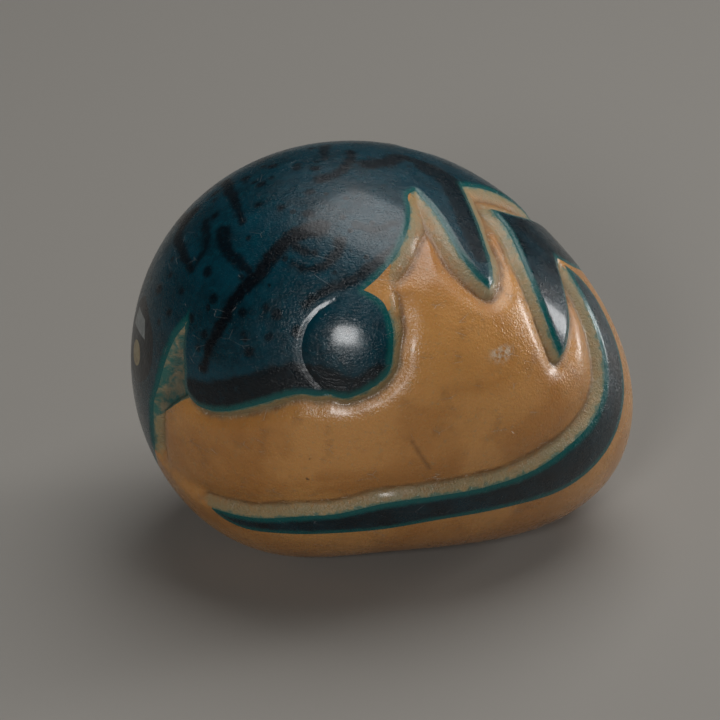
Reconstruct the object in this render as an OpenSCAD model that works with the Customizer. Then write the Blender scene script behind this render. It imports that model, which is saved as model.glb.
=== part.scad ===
// Carved palm nut figure: an animal in low relief, dyed teal, curled round one solid nut.
// It faces -X. Its left side faces -Y. The nut stands on a small sanded flat at z = 0.

/* [Nut] */
// Length of the nut from the face to the rump
nut_length = 55.2; // [40:0.1:75]
// Depth of the nut from its left side to its right side
nut_depth = 45; // [34:0.5:60]
// Height of the nut above its rest face
nut_height = 42.9; // [32:0.1:58]
// How much of the nut's underside is sanded away to make the rest face
sanded_off = 2; // [1:0.1:3]

/* [Carving] */
// How far the bare ground is cut back from the nut's own surface
carve_depth = 1.2; // [0.8:0.1:2]
// How deep the teal dye soaks in, which is the thickness of each dyed piece
dye_depth = 0.5; // [0.4:0.05:0.7]
// How far each side knob rises above the nut's surface
knob_rise = 0.45; // [0.1:0.05:0.9]
// Extra depth of the groove behind each cheek, below the bare ground
groove_extra = 0.4; // [0.1:0.1:0.8]

/* [Eyes] */
// How deep the white and the pupil of each eye reach into the almond around them
eye_inlay_depth = 0.3; // [0.15:0.05:0.35]
// Radius of each pupil
pupil_radius = 1.45; // [1:0.05:1.75]

/* [Hidden] */

tan_colour = [0.72, 0.47, 0.24];
teal_colour = [0.02, 0.22, 0.27];
wash_colour = [0.26, 0.40, 0.38];
ink_colour = [0.02, 0.05, 0.10];
white_colour = [0.42, 0.42, 0.40];

// The nut's side outline: its relative radius every 30 degrees, from the face, over the crown, to the belly.
side_radii = [26.5, 25.5, 23, 20, 19.5, 21.5, 26.5, 33, 24.5, 21, 28.5, 28];
side_step = 360 / len(side_radii);
side_depth = 22.5;
mean_radius = sum(side_radii) / len(side_radii);

// Facets round the nut and from its left pole to its right pole.
rounds = 48;
rows = 27;
// The slices stop this part of a row short of the poles.
pole_gap = 0.05;
// Points that each stretch of an outline is drawn with.
outline_steps = 4;
// The cutters start this far from the nut's centre and reach well past its surface.
wedge_start = 2;
reach = 1.2 * max(nut_length, nut_depth, nut_height);
groove_depth = carve_depth + groove_extra;

function sum(list, i = 0) = i < len(list) - 1 ? list[i] + sum(list, i + 1) : list[i];
function unit(v) = v / norm(v);
function reverse(list) = [for (i = [len(list) - 1:-1:0]) list[i]];
function without_first(list) = [for (i = [1:len(list) - 1]) list[i]];

// Smooth radius of the side outline at an angle from the face, as a closed cubic B-spline.
function side_radius(angle) =
    let (
        n = len(side_radii),
        u = angle / side_step,
        i = floor(u),
        f = u - i,
        r = [for (k = [-1:2]) side_radii[((i + k) % n + n) % n]]
    )
    (pow(1 - f, 3) * r[0] + (3 * pow(f, 3) - 6 * pow(f, 2) + 4) * r[1]
        + (-3 * pow(f, 3) + 3 * pow(f, 2) + 3 * f + 1) * r[2] + pow(f, 3) * r[3]) / 6;

// A point of the unscaled nut in a given direction: ellipses that all meet at the two side poles.
function raw_point(d) =
    let (
        flat = norm([d.x, d.z]),
        angle = (atan2(d.z, -d.x) + 360) % 360,
        radius = mean_radius + (side_radius(angle) - mean_radius) * flat * flat
    )
    d / sqrt(pow(flat / radius, 2) + pow(d.y / side_depth, 2));

raw_side = [for (a = [0:2:358]) raw_point([-cos(a), 0, sin(a)])];
raw_low = [min([for (p = raw_side) p.x]), -side_depth, min([for (p = raw_side) p.z])];
raw_high = [max([for (p = raw_side) p.x]), side_depth, max([for (p = raw_side) p.z])];
raw_size = raw_high - raw_low;
full_size = [nut_length, nut_depth, nut_height + sanded_off];
stretch = [for (i = [0:2]) full_size[i] / raw_size[i]];
// Centre that every direction is taken from, so that the finished box stands centred on the origin.
centre = [
    -(raw_low.x + raw_high.x) / 2 * stretch.x,
    0,
    -raw_low.z * stretch.z - sanded_off,
];

// A point on the nut in a given direction, sunk by a depth towards the centre.
function nut_point(d, depth) =
    let (p = raw_point(d), q = [for (i = [0:2]) p[i] * stretch[i]])
    q * (1 - depth / norm(q));

// Direction of a place, as [longitude, latitude]: 0 is the face, 90 the left side, 180 the rump.
function direction(place) = [
    -cos(place[0]) * cos(place[1]),
    -sin(place[0]) * cos(place[1]),
    sin(place[1]),
];

// A closed smooth outline through places on the nut. A third value of 1 makes that place a corner.
function outline(places) =
    let (n = len(places), p = [for (q = places) unit(nut_point(direction(q), 0))])
    [
        for (i = [0:n - 1])
            let (
                a = p[i],
                b = p[(i + 1) % n],
                before = p[(i + n - 1) % n],
                after = p[(i + 2) % n],
                ta = places[i][2] == 1 ? b - a : (b - before) / 2,
                tb = places[(i + 1) % n][2] == 1 ? b - a : (after - a) / 2
            )
            for (k = [0:outline_steps - 1])
                let (t = k / outline_steps, t2 = t * t, t3 = t2 * t)
                unit(
                    (2 * t3 - 3 * t2 + 1) * a + (t3 - 2 * t2 + t) * ta
                        + (3 * t2 - 2 * t3) * b + (t3 - t2) * tb
                )
    ];

// A zone is the place that its cutter points at, and its outline.
function mirrored(places) = [for (q = places) [-q[0], q[1], q[2]]];
function other_side(zone) = [mirrored([zone[0]])[0], mirrored(zone[1])];

// Places of the left side.
groove_top = [32, 20, 1];
knob_joint = [86, 39.5, 1];
knob_foot = [78, 11.5, 1];
notch_left = [142, 74.5, 1];
notch_right = [244, 56, 1];
rear_notch = [194, 61, 1];
leaf_notch = [176.5, 28, 1];
tail_root = [176.5, 25.5, 1];
tail_tip = [36, -32, 1];

seam = [[0, 56, 1], [17, 52], [30, 42], [34, 30]];
groove_front = [[29, 15], [27.5, 10.5], [26, 5], [24.5, -0.5], [22, -6]];
groove_back = [[31.5, 17.5], [32.5, 12.5], [34, 8.5], [35, 3.5]];
back_hem = [[37.5, 1], [41, 0], [47.5, 1], [56.5, 5], [68, 10.5], [74, 11]];
knob_inner = [[73, 15.5], [69.5, 20.5], [69, 27], [72, 32.5], [77, 36]];
knob_outer = [[82, 11], [87, 13], [91, 15.5], [94, 19], [95, 25], [95, 30], [93, 35.5], [90, 38]];
back_rear = [[91.5, 43.5], [98.5, 49.5], [107, 58]];
near_crown = [[115, 65.5], [124, 72.5]];
point_left = [
    [133.5, 64], [128.5, 55], [126.5, 47.5], [127.5, 42], [129, 38.5], [131, 35.5, 1],
    [134.5, 37.5], [139, 42], [145.5, 48.5], [163.5, 57],
];
point_right = [
    [201, 54], [205, 47], [208, 39], [210, 32], [211, 25, 1],
    [217, 30], [224, 36], [231, 42], [238, 49],
];
rear_points = concat(near_crown, [notch_left], point_left, [rear_notch], point_right, [notch_right]);
jaw = [[21, -11], [19, -17], [16, -24], [9, -32]];

// An outline from its left half, which starts on the mid-line, and what closes it at the far end.
function both_sides(half, end) = concat(half, end, reverse(mirrored(without_first(half))));

back = [[0, 70], both_sides(
    concat(seam, [groove_top], groove_back, back_hem, [knob_foot], knob_inner, [knob_joint], back_rear),
    rear_points
)];
// The seat of the back and both knobs, which runs on under the head instead of stopping at the seam.
back_seat = [[0, 70], both_sides(
    concat(
        [[0, 46, 1], [16, 38], [28, 24, 1], [31.2, 19.2, 1]], groove_back, back_hem,
        [knob_foot], knob_outer, [knob_joint], back_rear
    ),
    rear_points
)];
head_zone = [[0, 12], both_sides(concat(seam, [groove_top], groove_front, jaw), [[0, -35]])];
knob = [[82, 26], concat([knob_foot], knob_outer, [knob_joint], reverse(knob_inner))];
// The groove behind the cheek. It runs on under its neighbours, which trim it.
cheek = [[28, 5], [
    [33, 23, 1], [36.5, 16], [38.5, 8], [37, 2, 1], [32, -2], [28.5, -5], [23, -9],
    [19, -12, 1], [20, -5], [23, 5], [25, 14],
]];
leaf = [[179, 30], [
    [180, 51.5, 1], [175, 50], [170, 46.5], [161, 41.5], [154.5, 36.5], [150, 30],
    [147.5, 23.5], [146.3, 17], [146.5, 11, 1], [149, 11.8], [152.5, 14], [157.5, 17.5],
    [163, 22], [170, 26], leaf_notch, [182, 21.5], [191.5, 14.5], [200, 9], [211, 5, 1],
    [212, 13], [208, 22], [200, 31], [189, 42],
]];
tail_inner_front = [[51, -32], [66.5, -29], [77.5, -27], [91.5, -22.5], [104.5, -20.5]];
tail_inner_rear = [
    [120, -19], [134.5, -16], [144.5, -12], [154, -7.5], [161, -1], [166, 8], [170.5, 17],
];
tail_outer = [
    [179, 20], [179.5, 14], [177.5, 8.5], [173, -1], [166.5, -9.5], [157, -18], [145, -24],
    [129, -27], [109, -30], [92, -33.5], [76, -35.5], [60, -37], [47, -37.5], [40, -35.5],
];
tail_band = [
    [113, -13],
    concat([tail_tip], tail_inner_front, tail_inner_rear, [tail_root], tail_outer),
];

// Bare ground. Its hidden edges run under the dyed pieces, which keep their full height.
under_back = [[108, 42, 1], [75, 25], [58, 20], [38, 14, 1], [34, 22, 1], [24, 14], [21, 1], [17, -9]];
flank_left = [[70, -2], concat(
    [[34, -33, 1], [44, -34.5], [56, -33.5], [77.5, -30], [92, -26], [106, -23.5, 1]],
    under_back, [[14, -18, 1], [20, -25]]
)];
rump_left = [[140, 30], [
    [92, 44, 1], [94, -16, 1], [100, -23.5, 1], [120, -22], [134.5, -19], [146, -16],
    [157, -10], [165, -2], [170, 8], [174.5, 17], [177.3, 23.5, 1],
    [179, 31, 1], [186, 36, 1], [200, 50], [204, 66, 1], [150, 79, 1], [110, 68],
]];
flank_right = [[-50, -2], [
    [-36, -26, 1], [-48, -21.5], [-60, -18], [-74, -9, 1], [-76, 22, 1], [-58, 20],
    [-38, 14, 1], [-34, 22, 1], [-24, 14], [-21, 1], [-17, -9], [-14, -18, 1], [-22, -24],
]];
rump_right = [[-125, 20], [
    [-56, -6, 1], [-66, -17], [-90, -13], [-120, -9], [-150, -2], [-165, 8, 1],
    [-178, 31, 1], [172, 42], [165, 52], [168, 66, 1], [-150, 79, 1], [-110, 68],
    [-85, 46, 1], [-66, 18, 1],
]];
ground = [flank_left, rump_left, flank_right, rump_right];
raised = [back_seat, head_zone, leaf, tail_band];

almond = [[13, 5], [
    [8, 16, 1], [14, 14.5], [19.5, 11], [21.5, 6], [20.5, 1], [17, -2.5], [12, -5, 1],
    [6.5, -3], [3.5, 2], [3, 8], [4.5, 13],
]];
eye_white = [[10, 10], [[6, 12, 1], [13.5, 12, 1], [16, 8, 1], [5.5, 7.5, 1]]];
pupil_place = [11.5, 2.5];
pupil_reach = asin(pupil_radius / norm(nut_point(direction(pupil_place), 0)));
pupil = [pupil_place, [
    for (a = [0:45:315])
        pupil_place + pupil_reach * [cos(a) / cos(pupil_place[1]), sin(a)]
]];

// One upright slice across the nut, counted from its left pole.
function slice(row, depth) = [
    for (i = [0:rounds - 1])
        let (a = -360 * (i + 0.5) / rounds, b = 180 * row / rows)
        nut_point([-cos(a) * sin(b), -cos(b), sin(a) * sin(b)], depth)
];

// The solid nut, sunk by a depth all over: each pair of neighbouring slices is bridged.
module nut(depth) {
    rim = [for (i = [0:rounds - 1]) i];
    for (row = [0:rows - 1])
        hull()
            polyhedron(
                concat(slice(max(row, pole_gap), depth), slice(min(row + 1, rows - pole_gap), depth)),
                [rim, [for (i = rim) 2 * rounds - 1 - i]]
            );
}

// A cutter that opens outwards from the nut's middle, whose section is a zone's outline.
module wedge(zone) {
    aim = direction(zone[0]);
    side = unit(cross(abs(aim.z) < 0.9 ? [0, 0, 1] : [1, 0, 0], aim));
    top = cross(aim, side);
    section = [for (d = outline(zone[1])) [d * side, d * top] * (reach / (d * aim))];
    multmatrix([
        [side.x, top.x, aim.x, 0],
        [side.y, top.y, aim.y, 0],
        [side.z, top.z, aim.z, 0],
    ])
        translate([0, 0, reach])
            mirror([0, 0, 1])
                linear_extrude(height = reach - wedge_start, scale = wedge_start / reach)
                    polygon(section);
}

// What lies inside a zone between two depths under the nut's surface.
module skin(zone, from, to) {
    difference() {
        intersection() {
            nut(from);
            wedge(zone);
        }
        nut(to);
    }
}

// The bottom of the cut ground, with the grooves behind the cheeks cut deeper.
module ground_floor() {
    nut(groove_depth);
    difference() {
        nut(carve_depth);
        wedge(cheek);
        wedge(other_side(cheek));
    }
}

module nut_body() {
    color(tan_colour)
        intersection() {
            translate(centre)
                difference() {
                    nut(0);
                    // Seats of the dyed pieces, with the ground beside them
                    difference() {
                        for (zone = concat(raised, ground)) wedge(zone);
                        nut(dye_depth);
                    }
                    // Bare ground, cut back deeper round the raised pieces
                    difference() {
                        for (zone = ground) wedge(zone);
                        ground_floor();
                        for (zone = raised) wedge(zone);
                    }
                }
            translate([0, 0, reach]) cube(2 * reach, center = true);
        }
}

module dyed(zone) {
    color(teal_colour) translate(centre) skin(zone, 0, dye_depth);
}

module side_knob(zone) {
    color(teal_colour) translate(centre) skin(zone, -knob_rise, dye_depth);
}

module head() {
    color(teal_colour)
        translate(centre)
            difference() {
                skin(head_zone, 0, dye_depth);
                wedge(almond);
                wedge(other_side(almond));
            }
}

module cheek_groove(zone) {
    color(wash_colour)
        translate(centre)
            difference() {
                skin(zone, groove_depth - dye_depth, groove_depth);
                wedge(head_zone);
                wedge(back_seat);
            }
}

module eye(field, white, round_pupil) {
    color(ink_colour)
        translate(centre)
            difference() {
                skin(field, 0, dye_depth);
                skin(white, -1, eye_inlay_depth);
                skin(round_pupil, -1, eye_inlay_depth);
            }
}

module eye_inlay(zone, colour) {
    color(colour) translate(centre) skin(zone, 0, eye_inlay_depth);
}

nut_body();
head();
dyed(back);
side_knob(knob);  // side_knob_left
side_knob(other_side(knob));  // side_knob_right
dyed(leaf);  // rump_leaf
dyed(tail_band);  // tail
cheek_groove(cheek);  // cheek_groove_left
cheek_groove(other_side(cheek));  // cheek_groove_right
eye(almond, eye_white, pupil);  // eye_left
eye(other_side(almond), other_side(eye_white), other_side(pupil));  // eye_right
eye_inlay(eye_white, white_colour);  // eye_white_left
eye_inlay(other_side(eye_white), white_colour);  // eye_white_right
eye_inlay(pupil, tan_colour);  // pupil_left
eye_inlay(other_side(pupil), tan_colour);  // pupil_right
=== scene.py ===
"""A solid palm nut, carved in low relief as a curled animal, dyed teal, inked with a brush and waxed.

The surface is worked out as directions from the nut's centre. A ball is cut along the outlines of the
dyed zones, each piece takes its own faces from it, and the relief then says how deep each point lies.
Distances in the relief are in millimetres. Every object and property is in metres.
"""
import math

import bmesh
import bpy
import numpy as np
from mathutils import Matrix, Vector, noise


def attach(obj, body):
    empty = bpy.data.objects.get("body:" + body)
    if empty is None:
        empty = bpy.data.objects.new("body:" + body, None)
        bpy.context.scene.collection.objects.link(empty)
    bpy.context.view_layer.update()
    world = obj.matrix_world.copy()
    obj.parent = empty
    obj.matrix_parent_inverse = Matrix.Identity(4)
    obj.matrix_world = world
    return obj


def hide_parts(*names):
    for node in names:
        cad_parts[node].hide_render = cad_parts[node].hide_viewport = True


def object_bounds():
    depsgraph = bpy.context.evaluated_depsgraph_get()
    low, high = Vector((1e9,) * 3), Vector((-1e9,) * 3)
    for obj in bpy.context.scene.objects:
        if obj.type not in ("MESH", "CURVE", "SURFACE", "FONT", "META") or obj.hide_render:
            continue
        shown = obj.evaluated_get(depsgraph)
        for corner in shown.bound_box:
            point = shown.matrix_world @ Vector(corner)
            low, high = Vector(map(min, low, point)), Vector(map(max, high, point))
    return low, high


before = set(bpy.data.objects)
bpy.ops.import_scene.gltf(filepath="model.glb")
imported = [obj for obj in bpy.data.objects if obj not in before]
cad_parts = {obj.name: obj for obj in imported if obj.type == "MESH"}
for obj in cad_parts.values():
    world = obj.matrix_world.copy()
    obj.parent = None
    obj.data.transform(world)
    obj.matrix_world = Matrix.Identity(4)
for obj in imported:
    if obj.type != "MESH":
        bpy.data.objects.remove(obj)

bl_info = {
    "name": "Carved Palm Nut Animal",
    "version": (1, 0, 0),
    "blender": (4, 5, 0),
    "location": "View3D > Sidebar > Carved Nut",
    "description": "Models a palm nut carved, dyed and waxed as a curled animal",
    "category": "Object",
}

MM = 0.001
cad_low, cad_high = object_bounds()


# ---------------------------------------------------------------- shape of the nut

# Relative radius of the nut's side outline every 30 degrees, from the face, over the crown, to the belly.
SIDE_RADII = np.array([26.5, 25.5, 23, 20, 19.5, 21.5, 26.5, 33, 24.5, 21, 28.5, 28])
SIDE_DEPTH = 22.5
SANDED_OFF = 2.0


def unit(v):
    return v / np.linalg.norm(v, axis=-1, keepdims=True)


def side_radius(angle):
    """Smooth radius of the side outline at angles in degrees, as a closed cubic B-spline."""
    along = np.mod(angle / 30, len(SIDE_RADII))
    first = np.floor(along).astype(int)
    f = along - first
    a, b, c, d = (SIDE_RADII[(first + k) % len(SIDE_RADII)] for k in (-1, 0, 1, 2))
    inner = (3 * f**3 - 6 * f**2 + 4) * b + (-3 * f**3 + 3 * f**2 + 3 * f + 1) * c
    return ((1 - f) ** 3 * a + inner + f**3 * d) / 6


def raw_point(d):
    """Points of the unstretched nut in unit directions d: ellipses that meet at its two side poles."""
    flat = np.hypot(d[:, 0], d[:, 2])
    mean = SIDE_RADII.mean()
    radius = mean + (side_radius(np.degrees(np.arctan2(d[:, 2], -d[:, 0]))) - mean) * flat**2
    return d / np.sqrt((flat / radius) ** 2 + (d[:, 1] / SIDE_DEPTH) ** 2)[:, None]


def facing(places):
    """Unit directions of [longitude, latitude] places: 0 is the face, 90 the left side, 180 the rump."""
    lon, lat = np.radians(np.array([p[:2] for p in places], float)).T
    return np.stack([-np.cos(lon) * np.cos(lat), -np.sin(lon) * np.cos(lat), np.sin(lat)], -1)


def fit_to_frame():
    """The stretch and the centre that put the nut's outline on the frame's box."""
    turn = np.radians(np.arange(0, 360, 0.5))
    side = raw_point(np.stack([-np.cos(turn), 0 * turn, np.sin(turn)], -1))
    low = np.array([side[:, 0].min(), -SIDE_DEPTH, side[:, 2].min()])
    high = np.array([side[:, 0].max(), SIDE_DEPTH, side[:, 2].max()])
    box_low, box_high = np.array(cad_low) / MM, np.array(cad_high) / MM
    box_low[2] -= SANDED_OFF
    stretch = (box_high - box_low) / (high - low)
    return stretch, box_low - low * stretch


STRETCH, CENTRE = fit_to_frame()


def reach(u):
    """How far the nut's own surface lies from its centre in unit directions u."""
    return np.linalg.norm(raw_point(unit(u / STRETCH)) * STRETCH, axis=1)


def toward(places):
    """Unit directions of places on the stretched nut."""
    return unit(raw_point(facing(places)) * STRETCH)


def on_nut(u):
    return u * reach(u)[:, None]


# ---------------------------------------------------------------- outlines of the dyed zones


def curve(places, closed=True, steps=6):
    """A smooth line through places, as unit directions. A third value of 1 makes a corner."""
    p = toward(places)
    count = len(p)
    corner = [len(q) > 2 and q[2] == 1 for q in places]
    if not closed:
        corner[0] = corner[-1] = True
    t = (np.arange(steps) / steps)[:, None]
    parts = []
    for i in range(count if closed else count - 1):
        a, b = p[i], p[(i + 1) % count]
        ta = b - a if corner[i] else (b - p[i - 1]) / 2
        tb = b - a if corner[(i + 1) % count] else (p[(i + 2) % count] - a) / 2
        bend = (t**3 - 2 * t**2 + t) * ta + (t**3 - t**2) * tb
        parts.append((2 * t**3 - 3 * t**2 + 1) * a + (3 * t**2 - 2 * t**3) * b + bend)
    if not closed:
        parts.append(p[-1:])
    return unit(np.concatenate(parts))


def mirrored(places):
    return [[-p[0], *p[1:]] for p in places]


def both_sides(half, end):
    return half + end + mirrored(half[1:])[::-1]


def other_side(zone):
    return mirrored([zone[0]])[0], mirrored(zone[1])


GROOVE_TOP, KNOB_JOINT, KNOB_FOOT = [32, 20, 1], [86, 39.5, 1], [78, 11.5, 1]
SEAM = [[0, 56, 1], [17, 52], [30, 42], [34, 30]]
GROOVE_FRONT = [[29, 15], [27.5, 10.5], [26, 5], [24.5, -0.5], [22, -6]]
GROOVE_BACK = [[31.5, 17.5], [32.5, 12.5], [34, 8.5], [35, 3.5]]
BACK_HEM = [[37.5, 1], [41, 0], [47.5, 1], [56.5, 5], [68, 10.5], [74, 11]]
KNOB_INNER = [[73, 15.5], [69.5, 20.5], [69, 27], [72, 32.5], [77, 36]]
KNOB_OUTER = [[82, 11], [87, 13], [91, 15.5], [94, 19], [95, 25], [95, 30], [93, 35.5], [90, 38]]
BACK_REAR = [[91.5, 43.5], [98.5, 49.5], [107, 58]]
REAR_POINTS = [
    [115, 65.5], [124, 72.5], [142, 74.5, 1],
    [133.5, 64], [128.5, 55], [126.5, 47.5], [127.5, 42], [129, 38.5], [131, 35.5, 1],
    [134.5, 37.5], [139, 42], [145.5, 48.5], [163.5, 57], [194, 61, 1],
    [201, 54], [205, 47], [208, 39], [210, 32], [211, 25, 1],
    [217, 30], [224, 36], [231, 42], [238, 49], [244, 56, 1],
]
JAW = [[21, -11], [19, -17], [16, -24], [9, -32]]
TAIL_INNER = [
    [51, -32], [66.5, -29], [77.5, -27], [91.5, -22.5], [104.5, -20.5], [120, -19],
    [134.5, -16], [144.5, -12], [154, -7.5], [161, -1], [166, 8], [170.5, 17],
]
TAIL_OUTER = [
    [179, 20], [179.5, 14], [177.5, 8.5], [173, -1], [166.5, -9.5], [157, -18], [145, -24],
    [129, -27], [109, -30], [92, -33.5], [76, -35.5], [60, -37], [47, -37.5], [40, -35.5],
]
SEAT_FRONT = [[0, 46, 1], [16, 38], [28, 24, 1], [31.2, 19.2, 1]]
PUPIL_PLACE, PUPIL_REACH = [11.5, 2.5], 3.1

# Each zone is the place it is seen from, and its outline.
KNOB = [82, 26], [KNOB_FOOT] + KNOB_OUTER + [KNOB_JOINT] + KNOB_INNER[::-1]
ALMOND = [13, 5], [
    [8, 16, 1], [14, 14.5], [19.5, 11], [21.5, 6], [20.5, 1], [17, -2.5], [12, -5, 1],
    [6.5, -3], [3.5, 2], [3, 8], [4.5, 13],
]
EYE_WHITE = [10, 10], [[6, 12, 1], [13.5, 12, 1], [16, 8, 1], [5.5, 7.5, 1]]
PUPIL = PUPIL_PLACE, [
    [PUPIL_PLACE[0] + PUPIL_REACH * math.cos(a), PUPIL_PLACE[1] + PUPIL_REACH * math.sin(a)]
    for a in np.radians(np.arange(0, 360, 45))
]
CHEEK = [28, 5], [
    [33, 23, 1], [36.5, 16], [38.5, 8], [37, 2, 1], [32, -2], [28.5, -5], [23, -9],
    [19, -12, 1], [20, -5], [23, 5], [25, 14],
]
BACK_FRONT = SEAM + [GROOVE_TOP] + GROOVE_BACK + BACK_HEM + [KNOB_FOOT] + KNOB_INNER + [KNOB_JOINT]
SEAT_HALF = SEAT_FRONT + GROOVE_BACK + BACK_HEM + [KNOB_FOOT] + KNOB_OUTER + [KNOB_JOINT]
# Where two zones cross, the earlier one in this list has the ground between them.
ZONES = {
    "pupil_left": PUPIL,
    "pupil_right": other_side(PUPIL),
    "eye_white_left": EYE_WHITE,
    "eye_white_right": other_side(EYE_WHITE),
    "eye_left": ALMOND,
    "eye_right": other_side(ALMOND),
    "head": ([0, 12], both_sides(SEAM + [GROOVE_TOP] + GROOVE_FRONT + JAW, [[0, -35]])),
    "side_knob_left": KNOB,
    "side_knob_right": other_side(KNOB),
    "back": ([0, 70], both_sides(BACK_FRONT + BACK_REAR, REAR_POINTS)),
    "rump_leaf": ([179, 30], [
        [180, 51.5, 1], [175, 50], [170, 46.5], [161, 41.5], [154.5, 36.5], [150, 30],
        [147.5, 23.5], [146.3, 17], [146.5, 11, 1], [149, 11.8], [152.5, 14], [157.5, 17.5],
        [163, 22], [170, 26], [176.5, 28, 1], [182, 21.5], [191.5, 14.5], [200, 9], [211, 5, 1],
        [212, 13], [208, 22], [200, 31], [189, 42],
    ]),
    "tail": ([113, -13], [[36, -32, 1]] + TAIL_INNER + [[176.5, 25.5, 1]] + TAIL_OUTER),
    "cheek_groove_left": CHEEK,
    "cheek_groove_right": other_side(CHEEK),
}
ZONE_NUMBER = {name: number for number, name in enumerate(ZONES)}
BACK_SEAT = [0, 70], both_sides(SEAT_HALF + BACK_REAR, REAR_POINTS)
UNDER_BACK = [[108, 42, 1], [75, 25], [58, 20], [38, 14, 1], [34, 22, 1], [24, 14], [21, 1], [17, -9]]
# The bare ground that is cut back. Its borders run under the dyed zones, or fade out on the open nut.
GROUND = [
    ([70, -2], [[34, -33, 1], [44, -34.5], [56, -33.5], [77.5, -30], [92, -26], [106, -23.5, 1]]
     + UNDER_BACK + [[14, -18, 1], [20, -25]]),
    ([140, 30], [
        [92, 44, 1], [94, -16, 1], [100, -23.5, 1], [120, -22], [134.5, -19], [146, -16],
        [157, -10], [165, -2], [170, 8], [174.5, 17], [177.3, 23.5, 1],
        [179, 31, 1], [186, 36, 1], [200, 50], [204, 66, 1], [150, 79, 1], [110, 68],
    ]),
    ([-50, -2], [
        [-36, -26, 1], [-48, -21.5], [-60, -18], [-74, -9, 1], [-76, 22, 1], [-58, 20],
        [-38, 14, 1], [-34, 22, 1], [-24, 14], [-21, 1], [-17, -9], [-14, -18, 1], [-22, -24],
    ]),
    ([-125, 20], [
        [-56, -6, 1], [-66, -17], [-90, -13], [-120, -9], [-150, -2], [-165, 8, 1],
        [-178, 31, 1], [172, 42], [165, 52], [168, 66, 1], [-150, 79, 1], [-110, 68],
        [-85, 46, 1], [-66, 18, 1],
    ]),
]
FAR = -99.0


def distance_to(points, line, closed=True):
    """Distance from each point to a line of points, and how far along the line it is nearest, 0 to 1."""
    size = len(line)
    nearest = np.concatenate([
        np.argmin((line**2).sum(1) - 2 * part @ line.T, axis=1)
        for part in np.array_split(points, len(points) // 20000 + 1)
    ])
    best = np.full(len(points), 1e9)
    for shift in (-1, 0):
        first = nearest + shift
        first = first % size if closed else np.clip(first, 0, size - 2)
        a, b = line[first], line[(first + 1) % size]
        ab = b - a
        length = np.maximum((ab**2).sum(1), 1e-12)
        t = np.clip(((points - a) * ab).sum(1) / length, 0, 1)
        best = np.minimum(best, np.linalg.norm(points - a - t[:, None] * ab, axis=1))
    return best, nearest / size


def inside(u, zone):
    """Which unit directions lie inside a zone, by counting outline crossings in a flat view of it."""
    aim = toward([zone[0]])[0]
    across = unit(np.cross([0, 0, 1.0] if abs(aim[2]) < 0.9 else [1.0, 0, 0], aim))
    upward = np.cross(aim, across)
    front = u @ aim
    seen = front > 0.05
    front = np.where(seen, front, 1)
    x, y = u @ across / front, u @ upward / front
    r = curve(zone[1])
    rx, ry = r @ across / (r @ aim), r @ upward / (r @ aim)
    odd = np.zeros(len(u), bool)
    for x1, y1, x2, y2 in zip(rx, ry, np.roll(rx, -1), np.roll(ry, -1)):
        if y1 != y2:
            odd ^= ((y1 > y) != (y2 > y)) & (x < (x2 - x1) * (y - y1) / (y2 - y1) + x1)
    return odd & seen


def signed_distance(u, zone, margin=7.0):
    """Distance to a zone's outline, positive inside it, and FAR where it is well away."""
    points, line = on_nut(u), on_nut(curve(zone[1]))
    middle = line.mean(0)
    near = np.linalg.norm(points - middle, axis=1) < np.linalg.norm(line - middle, axis=1).max() + margin
    result = np.full(len(u), FAR)
    if near.any():
        away = distance_to(points[near], line)[0]
        result[near] = np.where(inside(u[near], zone), away, -away)
    return result


# ---------------------------------------------------------------- relief

# The knife cut beside each raised zone: the width of its steep part and what that gains on the crown, the
# width of the whole cut and what that gains there, and its share of the carving depth.
CUTS = {
    "seat": (0.75, 0.95, 3.0, 1.6, 0.95),
    "head": (0.8, 0.0, 2.8, 0.0, 1.0),
    "rump_leaf": (0.9, 0.0, 3.2, 0.0, 0.85),
    "tail": (0.9, 0.0, 5.4, 0.0, 0.95),
}
# Latitudes between which the cuts widen towards the crown.
CROWN_FROM, CROWN_TO = 22, 42
GROUND_FADE = 2.2
EDGE_WIDTH = 0.8
LIP_WIDTH = 0.3
NOTCH_WIDTH = 1.1
BEVEL_WIDTH, BEVEL_GAIN, TAIL_BEVEL_WIDTH = 0.95, 1.0, 1.5
RIDGE_WIDTH = 0.3
KNOB_MIDDLE, KNOB_RADIUS = [82, 26.5], 4.9
KNOB_CREASE_DEPTH, KNOB_CREASE_WIDTH = 0.17, 0.35
# The most that the edge mask holds, and what the away mask holds off the carved ground.
NO_OUTLINE = 20


def smooth(low, high, x):
    t = np.clip((x - low) / (high - low), 0, 1)
    return t * t * (3 - 2 * t)


def soft_max(values, softness):
    """The largest of several fields, with their crossings rounded off."""
    stack = np.stack(values) / softness
    top = stack.max(0)
    return softness * (top + np.log(np.exp(stack - top).sum(0)))


def wobble(points, size, seed):
    """Unevenness of hand work, about -1 to 1, over a size in millimetres."""
    shift = Vector((7.3, 3.1, 5.7)) * seed
    return np.array([noise.noise(Vector(p) / size + shift) for p in points])


def knife_cut(away, steep, wide, deep):
    """A knife cut beside a raised edge: steep near it, then a long bevel that runs out at wide."""
    return deep * np.clip(np.minimum(away / steep, (wide - away) / (wide - steep)), 0, None)


def zone_fields(u):
    """The distances that the relief and the finishes need."""
    names = ["head", "rump_leaf", "tail"]
    field = {name: signed_distance(u, ZONES[name]) for name in names}
    field["seat"] = signed_distance(u, BACK_SEAT)
    field["ground"] = np.maximum.reduce([signed_distance(u, zone) for zone in GROUND])
    cheeks = [signed_distance(u, ZONES["cheek_groove_" + side]) for side in ("left", "right")]
    field["cheek"] = np.maximum(*cheeks)
    return field


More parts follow.
